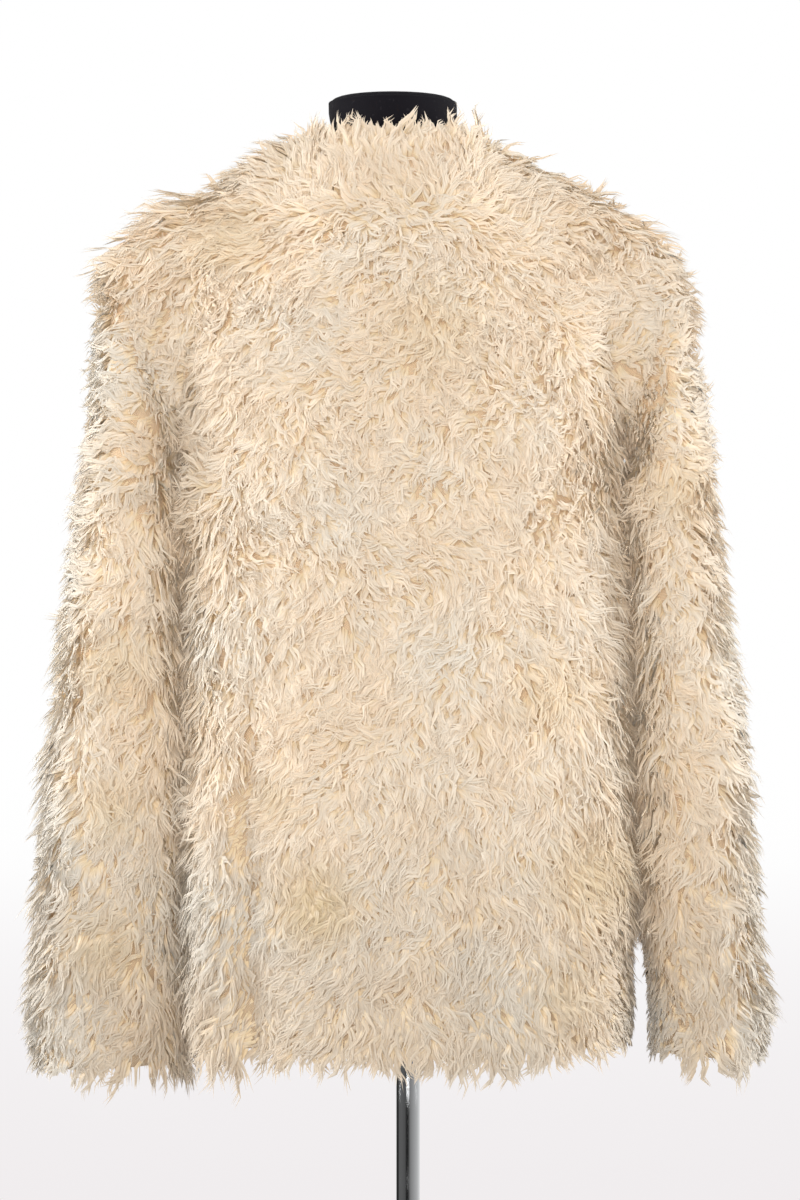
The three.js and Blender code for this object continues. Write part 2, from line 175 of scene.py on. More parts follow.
def bump(tree, shader, height, strength, distance):
    values = {"Strength": strength, "Distance": distance, "Height": height}
    tree.links.new(node(tree, "Bump", values).outputs[0], shader.inputs["Normal"])


print("node helpers ready")

# %% [markdown]
# ## Effect: how the colour of the pile wanders
# No fleece is one colour. Some areas are a cool, washed white and others a warm cream, and here
# and there a spot has gone straw yellow. Painting them would need an image. Two sizes of noise,
# read from the place on the coat, give areas that run on across every seam. Soft spots are then
# put one by one where the cloth is washed out or has yellowed. The outer sides of the sleeves are
# painted paler and cooler as well, as painted light for the light that falls round their edges.
# Towards hem and cuffs the colour is made a little greyer and darker. The locks and the ground
# both use this group.

# %% Group: areas of the pile
CREAM = (0.94, 0.785, 0.60, 1)
WASHED = (0.90, 0.83, 0.72, 1)
STRAW = (0.80, 0.62, 0.36, 1)
# the grey that the colour is multiplied by towards the bottom, and the heights below which that is
# full and above which it is gone
LOW_GREY = (0.80, 0.79, 0.78, 1)
GREY_FULL_UNDER, GREY_GONE_OVER = 0.41, 0.70  # heights, in metres
# painted light: the outer sides of the sleeves are painted paler and cooler, from the first
# distance out to the second
SLEEVE_EDGE_LIGHT = (0.225, 0.285)  # how far out this starts and is full, in metres
BY_BROAD_NOISE, BY_SMALL_NOISE, BY_EDGE_LIGHT = 0.30, 0.25, 0.7
washed = [
    # across, height, radius, amount, in metres
    (0.162, 0.520, 0.090, 0.80),
    (0.140, 0.740, 0.070, 0.55),
    (-0.030, 0.720, 0.060, 0.50),
    (0.055, 0.830, 0.045, 0.55),
    (-0.080, 0.480, 0.070, 0.45),
    (0.100, 0.990, 0.040, 0.40),
    (-0.190, 0.440, 0.050, 0.60),
    (0.238, 0.950, 0.060, 0.55),
]
yellowed = [
    (-0.146, 0.560, 0.060, 0.62),
    (-0.120, 0.470, 0.045, 0.40),
    (0.070, 0.540, 0.050, 0.85),
    (0.104, 0.620, 0.030, 0.40),
    (0.232, 0.720, 0.050, 0.40),
    (0.236, 0.610, 0.045, 0.45),
    (0.240, 0.500, 0.050, 0.50),
    (-0.020, 0.985, 0.060, 0.35),
    (-0.110, 0.700, 0.050, 0.35),
    (-0.212, 0.860, 0.040, 0.35),
    (0.145, 1.058, 0.050, 0.45),
]

areas, given, out = group(
    "Areas of the pile",
    [("Wander", "Float", 1.0), ("Yellowing", "Float", 1.0)],
    [("Colour", "Color")],
)
place = place_of(areas)
broad = remap(areas, noise(areas, place, 9.0), 0.45, 0.62)
small = remap(areas, noise(areas, place, 42.0, 3.0), 0.42, 0.66)
cool = add_up(areas, times(areas, broad, BY_BROAD_NOISE), times(areas, small, BY_SMALL_NOISE))
xyz = node(areas, "SeparateXYZ", {0: place}).outputs
flat = node(areas, "CombineXYZ", {0: xyz[0], 2: xyz[2]}).outputs[0]


def spot(across, height, radius, amount):
    """A soft round mask about a place on the coat, seen from the front or the back."""
    away = node(areas, "VectorMath", {0: flat, 1: (across, 0, height)}, operation="DISTANCE")
    return remap(areas, away.outputs["Value"], 0.0, radius, amount, 0.0)


for values in washed:
    cool = add_up(areas, cool, spot(*values))
outer = node(areas, "Math", {0: xyz[0]}, operation="ABSOLUTE").outputs[0]
# painted light: paler, cooler outer sides of the sleeves
cool = add_up(areas, cool, remap(areas, outer, *SLEEVE_EDGE_LIGHT, 0.0, BY_EDGE_LIGHT))
cool = node(areas, "Clamp", {0: times(areas, cool, given["Wander"])}).outputs[0]
colour = mix(areas, cool, CREAM, WASHED)
for values in yellowed:
    colour = mix(areas, times(areas, spot(*values), given["Yellowing"]), colour, STRAW)
# greyer and darker towards the bottom
greyed = remap(areas, xyz[2], GREY_FULL_UNDER, GREY_GONE_OVER, 1.0, 0.0)
colour = mix(areas, greyed, colour, LOW_GREY, "MULTIPLY")
areas.links.new(colour, out["Colour"])
print("areas of the pile:", len(areas.nodes), "nodes")

# %% [markdown]
# ## Effect: knitted loops
# Both the ground under the pile and the form's jersey are knitted. A knit is rows of small arched
# loops. Modelling each loop would take millions of faces for something half a millimetre wide.
# A wave one way and a wave the other, multiplied, give the same field of small bumps.

# %% Group: knitted loops
knit, given, out = group(
    "Knitted loops",
    [("Loops per metre", "Float", 900.0)],
    [("Height", "Float")],
)
place = node(knit, "SeparateXYZ", {0: place_of(knit)}).outputs
turn = times(knit, given["Loops per metre"], 2 * math.pi)
around = add_up(knit, place[0], place[1])
waves = [
    node(knit, "Math", {0: times(knit, way, turn)}, operation="SINE").outputs[0]
    for way in (around, place[2])
]
knit.links.new(times(knit, waves[0], waves[1]), out["Height"])
print("knitted loops:", len(knit.nodes), "nodes")

# %% [markdown]
# ## Effect: handling marks
# A chrome stand that is moved about picks up faint smears and hairline scratches. They show only
# in the gloss, so this group gives a roughness that wanders, and no colour.

# %% Group: handling marks
marks, given, out = group(
    "Handling marks",
    [("Clean", "Float", 0.05), ("Smeared", "Float", 0.15)],
    [("Roughness", "Float")],
)
place = place_of(marks)
smears = remap(marks, noise(marks, place, 22.0, 4.0), 0.45, 0.75)
squeezed = node(marks, "Mapping", {"Vector": place, "Scale": (400, 400, 9)}).outputs[0]
hairlines = remap(marks, noise(marks, squeezed, 1.0, 1.0), 0.62, 0.72)
worn = node(marks, "Math", {0: smears, 1: hairlines}, operation="MAXIMUM").outputs[0]
values = {0: worn, 1: 0.0, 2: 1.0, 3: given["Clean"], 4: given["Smeared"]}
marks.links.new(node(marks, "MapRange", values).outputs[0], out["Roughness"])
print("handling marks:", len(marks.nodes), "nodes")

# %% [markdown]
# ## Finish: the locks
# A lock is a bundle of fine fibres. Its colour is painted dark and brown at the root, as painted
# shade where little light comes in, and pale at the tip. Each lock carries four numbers of its own,
# made with its shape later: how far along it a point is, how far across, the tone of the whole
# lock, and a place for its fibres' streaks. Colour from those numbers follows the bends of each
# lock, which noise in space could not do. The sheen stands for the fine fuzz that catches light at
# a grazing angle.
# A ribbon seen from its back would be shaded as if it faced into the coat, and go dark along
# every edge of the coat. So the back of a ribbon takes its plain flat normal instead, and glows
# a little with the light that comes through the fibres.

# %% Material: locks
# painted shade: the brown stands for the little light that reaches a lock's root, and also browns
# the hollows of the ground's knit
SHADE_BROWN = (0.93, 0.75, 0.50, 1)
TAN = (0.95, 0.79, 0.58, 1)
PALE_TIP = (0.95, 0.84, 0.71, 1)
# where along a lock one colour gives way to the next
ROOT_TO_TAN, TAN_TO_BODY, BODY_TO_TIP = (0.10, 0.34), (0.24, 0.52), (0.62, 1.0)
TIP_SHARE = 0.35
THROUGH_LOCKS = 0.14  # a plain glow on a lock's back, for the light that comes through it

locks_finish, tree, shader = finish_named(
    "pile_locks",
    {
        "Roughness": 0.65,
        "Specular IOR Level": 0.2,
        "Sheen Weight": 0.5,
        "Sheen Roughness": 0.5,
        "Sheen Tint": (1.0, 0.98, 0.95, 1),
        "Emission Strength": THROUGH_LOCKS,
    },
)
along, across, tone, streak = (
    node(tree, "Attribute", attribute_name=name).outputs["Fac"]
    for name in ("along", "across", "tone", "streak")
)
body_colour = placed(tree, areas)["Colour"]
# painted shade: browner towards each lock's root
colour = mix(tree, remap(tree, along, *ROOT_TO_TAN), SHADE_BROWN, TAN)
colour = mix(tree, remap(tree, along, *TAN_TO_BODY), colour, body_colour)
colour = mix(tree, remap(tree, along, *BODY_TO_TIP, 0.0, TIP_SHARE), colour, PALE_TIP)
values = {0: times(tree, across, 1.5), 1: times(tree, along, 1.3), 2: streak}
streaks = noise(tree, node(tree, "CombineXYZ", values).outputs[0], 1.0, 1.0)
shade = add_up(tree, times(tree, tone, 0.08), remap(tree, streaks, 0.3, 0.7, 0.82, 0.95))
colour = mix(tree, 1.0, colour, shade, "MULTIPLY")
tree.links.new(colour, shader.inputs["Base Color"])
bump(tree, shader, streaks, 0.4, 0.3 * MM)
seen = node(tree, "NewGeometry").outputs
values = {0: seen["Backfacing"], 4: seen["Normal"], 5: seen["True Normal"]}
outwards = node(tree, "Mix", values, data_type="VECTOR").outputs[1]
tree.links.new(outwards, tree.nodes["Bump"].inputs["Normal"])
through = mix(tree, seen["Backfacing"], (0, 0, 0, 1), colour)
tree.links.new(through, shader.inputs["Emission Color"])
locks_finish.cycles.emission_sampling = "NONE"
print("locks:", len(tree.nodes), "nodes")

# %% [markdown]
# ## Finish: the ground
# Between the locks the knitted ground shows as a tan shadow, and inside the cuffs it is bare. Its
# colour is the pile's own, painted duller and browner as painted shade for the shadow between the
# locks, and the hollows of its loops are painted browner still, as painted shade. The loops of the
# knit are a fine bump as well.

# %% Material: ground
# painted shade: the ground is painted duller and browner for the shadow between the locks
GROUND_SHADE_TINT = (0.86, 0.76, 0.66, 1)

ground_finish, tree, shader = finish_named(
    "knitted_ground", {"Roughness": 0.9, "Specular IOR Level": 0.2, "Sheen Weight": 0.2}
)
body_colour = placed(tree, areas, {"Wander": 0.5, "Yellowing": 0.5})["Colour"]
colour = mix(tree, 1.0, body_colour, GROUND_SHADE_TINT, "MULTIPLY")
loops = placed(tree, knit, {"Loops per metre": 520.0})["Height"]
# painted shade: the hollows of the knit's loops are painted browner
colour = mix(tree, remap(tree, loops, -0.6, 0.4, 0.45, 0.0), colour, SHADE_BROWN)
tree.links.new(colour, shader.inputs["Base Color"])
bump(tree, shader, loops, 0.6, 0.5 * MM)
print("ground:", len(tree.nodes), "nodes")

# %% [markdown]
# ## Finish: jersey and chrome
# The form is drawn over with black jersey: nearly black, matt, with a little lint. The stand is
# chrome plate, so its colour is nearly white and its look is what it mirrors.

# %% Materials: jersey and chrome
JERSEY_BLACK = (0.0075, 0.0065, 0.0095, 1)
LINT = (0.05, 0.046, 0.052, 1)

jersey_finish, tree, shader = finish_named(
    "black_jersey", {"Roughness": 0.85, "Specular IOR Level": 0.12, "Sheen Weight": 0.03}
)
lint = remap(tree, noise(tree, place_of(tree), 260.0, 4.0), 0.62, 0.80, 0.0, 0.5)
tree.links.new(mix(tree, lint, JERSEY_BLACK, LINT), shader.inputs["Base Color"])
bump(tree, shader, placed(tree, knit, {"Loops per metre": 900.0})["Height"], 0.35, 0.25 * MM)

chrome_finish, tree, shader = finish_named(
    "chrome_plate", {"Base Color": (0.78, 0.79, 0.80, 1), "Metallic": 1.0}
)
tree.links.new(placed(tree, marks)["Roughness"], shader.inputs["Roughness"])
print("jersey and chrome ready")

# %% [markdown]
# ## From a solid wall to a smooth skin
# The construction holds each cut piece as a closed wall 12 mm thick, with flat facets. Cloth needs
# the outer skin alone, smooth. One way is to model it again by eye, which would drift from the
# true cut. Here the skin is lifted off the wall: patches of facets that meet at less than a
# sharp bend are grown, and the largest patch is the outside. Pairs of triangles join into
# quads, and a subdivision surface rounds them.


# %% Lift the skin off a wall
WELD = 0.02 * MM
SHARP = math.radians(35)


def smooth_patches(bm):
    """The faces of a mesh in patches that hold no sharp bend."""
    waiting = set(bm.faces)
    while waiting:
        patch = [waiting.pop()]
        for face in patch:
            for edge in face.edges:
                beyond = [f for f in edge.link_faces if f in waiting]
                if beyond and edge.calc_face_angle(math.pi) < SHARP:
                    waiting.discard(beyond[0])
                    patch.append(beyond[0])
        yield patch


def skin_of(node_name, whole=False):
    """The outer skin of a constructed wall, or the whole of it, in quads, as a new mesh."""
    bm = bmesh.new()
    bm.from_mesh(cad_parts[node_name].data)
    bmesh.ops.remove_doubles(bm, verts=bm.verts, dist=WELD)
    bm.normal_update()
    if not whole:
        outside = max(smooth_patches(bm), key=lambda patch: sum(f.calc_area() for f in patch))
        corners = {vertex for face in outside for vertex in face.verts}
        others = [f for f in bm.faces if not corners.issuperset(f.verts)]
        bmesh.ops.delete(bm, geom=others, context="FACES")
    any_angle = {"angle_face_threshold": math.pi, "angle_shape_threshold": math.pi}
    bmesh.ops.join_triangles(bm, faces=bm.faces, **any_angle)
    mesh = bpy.data.meshes.new(node_name)
    bm.to_mesh(mesh)
    bm.free()
    return mesh


def shown(name, mesh, finish):
    """A new object in the scene, smooth and with its finish."""
    obj = bpy.data.objects.new(name, mesh)
    scene.collection.objects.link(obj)
    mesh.materials.append(finish)
    mesh.shade_smooth()
    return obj


def settle(obj):
    """Applies an object's modifiers to its mesh."""
    evaluated = obj.evaluated_get(bpy.context.evaluated_depsgraph_get())
    obj.data = bpy.data.meshes.new_from_object(evaluated)
    obj.modifiers.clear()


def subdivided(obj, levels):
    rounding = obj.modifiers.new("rounding", "SUBSURF")
    rounding.levels = levels
    rounding.render_levels = levels
    settle(obj)


def of_vertices(obj, name):
    found = np.empty(len(obj.data.vertices) * 3, np.float32)
    obj.data.vertices.foreach_get(name, found)
    return found.reshape(-1, 3).astype(float)


def move_to(obj, places):
    obj.data.vertices.foreach_set("co", places.astype(np.float32).ravel())
    obj.data.update()


print("skin helpers ready")

# %% [markdown]
# ## Creases
# Shaggy cloth is thick, so it makes few creases, and soft ones: a long fold where the back swings
# free below the waist, lines down the armholes, drag lines from the underarms, and breaks at the
# elbows. Each is given as a line from one point to another seen from the front or the back. The
# skin moves in (a trough) or out (a ridge) along its own normal, and the push fades along and
# across the line.


# %% Table of creases
# in metres: across, height, to across, height, then half width and push
creases = {
    "coat_back": [
        (0.120, 0.690, 0.112, 0.400, 0.007, -0.0135),
        (0.103, 0.680, 0.096, 0.410, 0.012, -0.0045),
        (0.134, 0.670, 0.134, 0.410, 0.013, 0.0090),
        (0.150, 0.905, 0.100, 0.800, 0.012, -0.0055),
        (0.158, 0.870, 0.118, 0.740, 0.014, 0.0030),
        (-0.150, 0.900, -0.092, 0.815, 0.012, -0.0060),
        (-0.156, 0.850, -0.128, 0.660, 0.013, -0.0040),
        (0.030, 0.860, 0.022, 0.690, 0.014, -0.0040),
        (-0.040, 0.640, -0.052, 0.410, 0.018, -0.0045),
        (0.020, 0.560, 0.026, 0.405, 0.015, -0.0030),
        (-0.118, 0.600, -0.124, 0.405, 0.014, -0.0045),
        (-0.070, 1.030, -0.010, 1.052, 0.012, -0.0030),
        (0.085, 1.050, 0.040, 1.075, 0.011, -0.0035),
    ],
    "coat_front_left": [
        (0.150, 0.895, 0.080, 0.830, 0.012, -0.0060),
        (0.110, 0.690, 0.116, 0.405, 0.014, -0.0060),
        (0.052, 0.620, 0.046, 0.405, 0.016, -0.0045),
        (0.020, 1.020, 0.034, 0.880, 0.014, -0.0035),
        (0.100, 1.040, 0.070, 0.960, 0.013, -0.0040),
    ],
    "coat_front_right": [
        (-0.148, 0.890, -0.090, 0.840, 0.012, -0.0055),
        (-0.122, 0.640, -0.116, 0.405, 0.013, -0.0060),
        (-0.070, 0.720, -0.080, 0.405, 0.018, -0.0040),
        (-0.028, 0.560, -0.022, 0.405, 0.014, -0.0035),
        (-0.090, 1.050, -0.060, 0.945, 0.013, -0.0040),
    ],
    "sleeve_left": [
        (0.170, 1.060, 0.194, 0.935, 0.009, -0.0080),
        (0.190, 0.960, 0.232, 0.925, 0.011, -0.0050),
        (0.186, 0.860, 0.238, 0.835, 0.011, -0.0050),
        (0.188, 0.760, 0.250, 0.742, 0.012, -0.0060),
        (0.192, 0.715, 0.256, 0.690, 0.010, -0.0045),
        (0.262, 0.800, 0.236, 0.770, 0.010, -0.0035),
        (0.236, 0.640, 0.240, 0.470, 0.016, -0.0035),
        (0.200, 0.560, 0.262, 0.590, 0.012, -0.0035),
        (0.206, 0.455, 0.280, 0.470, 0.012, -0.0045),
    ],
    "sleeve_right": [
        (-0.226, 0.992, -0.180, 0.880, 0.009, -0.0090),
        (-0.176, 0.965, -0.214, 0.930, 0.011, -0.0050),
        (-0.182, 0.850, -0.226, 0.838, 0.010, -0.0045),
        (-0.188, 0.745, -0.244, 0.728, 0.012, -0.0055),
        (-0.194, 0.690, -0.240, 0.668, 0.010, -0.0045),
        (-0.252, 0.780, -0.228, 0.745, 0.010, -0.0035),
        (-0.232, 0.630, -0.240, 0.480, 0.015, -0.0035),
        (-0.206, 0.545, -0.258, 0.560, 0.011, -0.0035),
        (-0.214, 0.460, -0.272, 0.452, 0.012, -0.0040),
    ],
}
print("creases:", sum(len(lines) for lines in creases.values()))


# %% Push and parting along the creases
BOW = 0.12  # a crease is never quite straight: this share of its length, at most MOST_BOW
MOST_BOW = 6 * MM
PAST_ENDS = 0.08  # a crease fades this far past its ends, as a share of its length
DEEP_FOLD = -12 * MM  # a fold pressed deeper than this parts the pile
PARTED_WIDTH = 13 * MM
PARTED_LEAN = 0.35


def off_line(places, line):
    """How far along a crease each point lies, as a share, and how far beside it, with a sign."""
    start = np.array(line[:2])
    run = np.array(line[2:4]) - start
    flat = places[:, [0, 2]] - start
    share = (flat @ run / (run @ run)).clip(0, 1)
    side = np.array([-run[1], run[0]]) / np.linalg.norm(run)
    bow = min(BOW * np.linalg.norm(run), MOST_BOW) * np.sin(np.pi * share)
    beside = flat - share[:, None] * run - bow[:, None] * side
    return share, np.linalg.norm(beside, axis=1) * np.where(beside[:, 0] < 0, -1, 1)


def push_of(places, lines):
    """How far each point is moved along its normal by the creases that pass near it."""
    push = np.zeros(len(places))
    for line in lines:
        half_width, depth = line[4:]
        share, off = off_line(places, line)
        fade = np.minimum(1, 4 * np.minimum(share + PAST_ENDS, 1 + PAST_ENDS - share))
        push += depth * fade * np.exp(-((off / half_width) ** 2))
    return push


def parted(places, lines):
    """How far the pile leans to the wearer's left, where it parts along a deep fold."""
    lean = np.zeros(len(places))
    for line in lines:
        if line[5] < DEEP_FOLD:
            off = off_line(places, line)[1] / PARTED_WIDTH
            lean += PARTED_LEAN * np.sign(off) * np.exp(-(off**2))
    return lean


print("crease helpers ready")

# %% [markdown]
# ## The cloth itself
# Each cut piece becomes a thin sheet. Dense pile hides how deep its ground lies, so
# the knitted ground lies just inside the wall's outer face and is 2 mm thick. The sheet is
# smoothed, creased, and then thickened by a modifier, which leaves a clean edge at cuff and hem.

# %% Make the five sheets
GROUND_DEPTH = 1 * MM
GROUND_THICK = 2 * MM
SKIN_LEVELS = 1
cut_pieces = {
    # piece: (node, flat width, flat length, flat area), in metres
    "cloth_back": ("coat_back", 0.49, 0.72, 0.312),
    "cloth_front_left": ("coat_front_left", 0.24, 0.72, 0.148),
    "cloth_front_right": ("coat_front_right", 0.24, 0.72, 0.148),
    "cloth_sleeve_left": ("sleeve_left", 0.38, 0.69, 0.215),
    "cloth_sleeve_right": ("sleeve_right", 0.36, 0.68, 0.200),
}

skins = {}
sheets = {}
for piece, (node_name, width, length, area) in cut_pieces.items():
    sheet = shown(piece, skin_of(node_name), ground_finish)
    subdivided(sheet, SKIN_LEVELS)
    places = of_vertices(sheet, "co")
    normals = of_vertices(sheet, "normal")
    if np.mean(np.sum((places - places.mean(0)) * normals, axis=1)) < 0:
        normals = -normals
    push = push_of(places, creases[node_name])
    places = places + normals * (push - GROUND_DEPTH)[:, None]
    move_to(sheet, places)
    sheet.data.calc_loop_triangles()
    triangles = np.empty(len(sheet.data.loop_triangles) * 3, np.int32)
    sheet.data.loop_triangles.foreach_get("vertices", triangles)
    skins[node_name] = (places, normals, triangles.reshape(-1, 3))
    thick = sheet.modifiers.new("ground", "SOLIDIFY")
    thick.thickness = GROUND_THICK
    thick.offset = -1
    sheets[piece] = sheet
    measured = sum(face.area for face in sheet.data.polygons)
    print(piece, "faces", len(sheet.data.polygons), "area", round(measured, 4), "cut", area)

# %% [markdown]
# ## How the pile lies
# Pile has a lie, as grass has in wind. On the back and the sleeves it runs down and a little
# outwards. Over the shoulders it runs outwards, and at the nape it stands up. Between those it
# turns through sideways, because a plain mixture of up and down would leave a bald star. On the
# middle of the back it has been rubbed about and swirls. Waves of many lengths and directions,
# added up, make a smooth field of angles, so that neighbouring locks agree.


# %% The field of the lie
def random_waves(rng, count, shortest, longest):
    """Plane waves with random directions and phases, to be added up as a smooth noise."""
    ways = rng.normal(size=(count, 3))
    ways /= np.linalg.norm(ways, axis=1)[:, None]
    lengths = rng.uniform(shortest, longest, count)
    return ways * (2 * math.pi / lengths)[:, None], rng.uniform(0, 2 * math.pi, count)


def wander(places, waves):
    """The sum of the waves at each place, about -1 to 1."""
    ways, phases = waves
    return np.sin(places @ ways.T + phases).sum(1) / math.sqrt(len(phases))


def ramp(values, low, high):
    share = ((values - low) / (high - low)).clip(0, 1)
    return share * share * (3 - 2 * share)


def unit(vectors):
    return vectors / np.maximum(np.linalg.norm(vectors, axis=-1), 1e-9)[..., None]


def turn_to(first, second, angle):
    """The way that lies at an angle from the first towards the second."""
    return first * np.cos(angle)[..., None] + second * np.sin(angle)[..., None]


rng = np.random.default_rng(7)
broad_swirl = random_waves(rng, 9, 0.070, 0.160)
small_swirl = random_waves(rng, 12, 0.022, 0.050)
stand_waves = random_waves(rng, 10, 0.030, 0.090)
phase_waves = random_waves(rng, 9, 0.030, 0.080)
length_waves = random_waves(rng, 9, 0.030, 0.090)
parting_waves = random_waves(rng, 6, 0.050, 0.120)
hem_waves = random_waves(rng, 8, 0.012, 0.034)

# height, how far the lie swirls, how wavy a lock is, its length, and how much it stands up
pile_by_height = np.array([
    (0.40, 0.24, 0.75, 0.0305, 0.16),
    (0.47, 0.30, 0.80, 0.0330, 0.17),
    (0.55, 0.40, 0.85, 0.0330, 0.17),
    (0.70, 0.60, 1.00, 0.0325, 0.18),
    (0.82, 1.10, 1.15, 0.0305, 0.18),
    (0.95, 1.45, 1.25, 0.0290, 0.20),
    (1.04, 1.10, 1.10, 0.0290, 0.34),
    (1.10, 0.50, 0.85, 0.0310, 0.50),
    (1.16, 0.30, 0.55, 0.0320, 0.65),
])
SLEEVE_CALM = 0.80  # a sleeve's pile swirls less than the back's


def pile_value(places, column):
    return np.interp(places[:, 2], pile_by_height[:, 0], pile_by_height[:, column])


tufts = [
    # across, height, radius, how much longer, where locks hang together in points
    (0.129, 0.428, 0.014, 0.50),
    (0.178, 0.432, 0.013, 0.35),
    (-0.062, 0.430, 0.012, 0.20),
    (-0.152, 0.432, 0.013, 0.20),
    (0.226, 0.416, 0.013, 0.25),
    (-0.250, 0.424, 0.013, 0.25),
]
PARTING = 0.012  # where the lie turns from right to left, in metres
PARTING_WANDERS, PARTING_BLURS = 0.026, 0.020
SMALL_SWIRL = 0.42
FAN = 0.30  # how far the lie leans outwards at the sides of the body, as an angle
OVER_SHOULDER = math.radians(80)
NAPE = math.radians(175)


def tuft_pull(places):
    """How strongly each root belongs to a tuft, and how far across it is from the tuft's middle."""
    longer, aside = np.zeros(len(places)), np.zeros(len(places))
    for across, height, radius, amount in tufts:
        off = (places[:, 0] - across) / radius
        near = np.exp(-(off**2) - ((places[:, 2] - height) / (1.6 * radius)) ** 2)
        longer += amount * near
        aside += off * near
    return longer, aside


def lie_of_pile(rng, places, normals, lean, calm):
    """The unit direction in which the pile runs, along the skin, and the one across it."""
    x, y, z = places.T
    parting = PARTING + PARTING_WANDERS * wander(places, parting_waves)
    parting = parting + rng.normal(0, PARTING_BLURS, len(x))
    outward = np.sign(x - parting)
    nape = 1 - ramp(np.abs(x - 0.010), 0.055, 0.105)
    turn = FAN * np.minimum(np.abs(x) / 0.15, 1) * (1 - ramp(z, 0.95, 1.03))
    turn = turn + OVER_SHOULDER * ramp(z, 1.02, 1.09) * (1 - nape)
    turn = turn + NAPE * ramp(z, 1.045, 1.095) * nape
    run = np.stack([outward * np.sin(turn), 0.3 * np.sign(y) * np.sin(turn), -np.cos(turn)], 1)
    run[:, 0] += lean - 0.5 * tuft_pull(places)[1]
    lie = unit(run - (run * normals).sum(1)[:, None] * normals)
    across = np.cross(normals, lie)
    angle = wander(places, broad_swirl) * pile_value(places, 1)
    angle = calm * angle + SMALL_SWIRL * wander(places, small_swirl)
    turned_lie = turn_to(lie, across, angle)
    return turned_lie, np.cross(normals, turned_lie)


print("the lie is set at", len(pile_by_height), "heights")

# %% [markdown]
# ## One lock, many times
# A hair system could grow this pile, but hair curves are not a mesh, and the coat is wanted as
# one. So each lock is built as a bundle of narrow ribbons. The bundle has one line, which rises
# from the ground, bends over and waves from side to side. Its ribbons start a little apart and
# close up towards the tip, as damp wool does. Arrays do this for every lock at once. Each
# ribbon is only a few faces, and its normals are rounded, so that it shades like a strand.


# %% Roots and lines of the locks
def scatter(rng, skin, count):
    """Places and normals at random on a skin, evenly by area."""
    places, normals, triangles = skin
    a, b, c = (places[triangles[:, i]] for i in range(3))
    sizes = np.linalg.norm(np.cross(b - a, c - a), axis=1)
    pick = rng.choice(len(triangles), count, p=sizes / sizes.sum())
    u, v = rng.random((2, count))
    folded = u + v > 1
    u, v = np.where(folded, 1 - u, u), np.where(folded, 1 - v, v)
    weights = np.stack([1 - u - v, u, v], 1)[:, :, None]
    corners = triangles[pick]
    return (places[corners] * weights).sum(1), unit((normals[corners] * weights).sum(1))


def between(roots, normals):
    """How far each root faces the gap between arm and body."""
    x, z = roots[:, 0], roots[:, 2]
    facing = normals[:, 0] * np.sign(x) * np.where(np.abs(x) > 0.180, -1, 1)
    return ramp(facing, 0.20, 0.75) * ramp(np.abs(x), 0.120, 0.150) * (1 - ramp(z, 0.90, 0.96))


def outermost(roots, normals):
    """How far each root is on the outer side of a sleeve, where the locks stand out."""
    x = roots[:, 0]
    return ramp(normals[:, 0] * np.sign(x), 0.45, 0.90) * ramp(np.abs(x), 0.185, 0.215)


# how much longer or shorter the locks are, as shares of their full length
BY_LENGTH_WAVES, BY_HEM_WAVES = 0.10, 0.15
IN_CREASE, IN_FOLD = -0.25, -0.30
AT_SHOULDER, AT_CUFF, BY_LEFT_CUFF, AT_NECKLINE = 0.55, -0.45, -0.35, -0.50
IN_GAP, MORE_IN_OPEN_GAP = 0.18, -0.68
NECK_SPIKES = 0.13  # this share of the neckline's locks stay long


def length_share(rng, roots, normals, push):
    """How long each lock is, as a share of the full length of the pile there."""
    x, z = roots[:, 0], roots[:, 2]
    share = 1 + BY_LENGTH_WAVES * wander(roots, length_waves)
    share *= 1 + IN_CREASE * ramp(-push, 2 * MM, 7 * MM) + IN_FOLD * ramp(-push, 7 * MM, 12 * MM)
    corner = ramp(np.abs(x), 0.145, 0.180) * ramp(z, 1.020, 1.060)
    share *= 1 + AT_SHOULDER * corner
    open_gap = (x < 0) * (1 - ramp(z, 0.49, 0.55))
    share *= 1 + between(roots, normals) * (IN_GAP + MORE_IN_OPEN_GAP * open_gap)
    low = 1 - ramp(z, 0.430, 0.470)
    share *= 1 + BY_LEFT_CUFF * low * ramp(x, 0.138, 0.160) * (x < 0.186)
    share *= 1 + low * BY_HEM_WAVES * wander(roots, hem_waves) + tuft_pull(roots)[0]
    cuff_corner = ramp(np.abs(x), 0.245, 0.280) * (1 - ramp(z, 0.420, 0.460))
    share *= 1 + AT_CUFF * cuff_corner
    neckline = ramp(z, 1.090, 1.130) * (1 - ramp(x, 0.060, 0.085)) * (1 - ramp(-x, 0.100, 0.130))
    share *= 1 + AT_NECKLINE * neckline
    spike = (rng.random(len(x)) < NECK_SPIKES) * neckline
    return share * (1 - spike) + rng.uniform(0.85, 1.25, len(x)) * spike


# how far locks stand up beyond the table's angle, and how far they sag towards the tip
STAND_WANDERS, STAND_IN_GAP, STAND_OUTERMOST, SAG = 0.12, 0.10, 0.22, 0.15


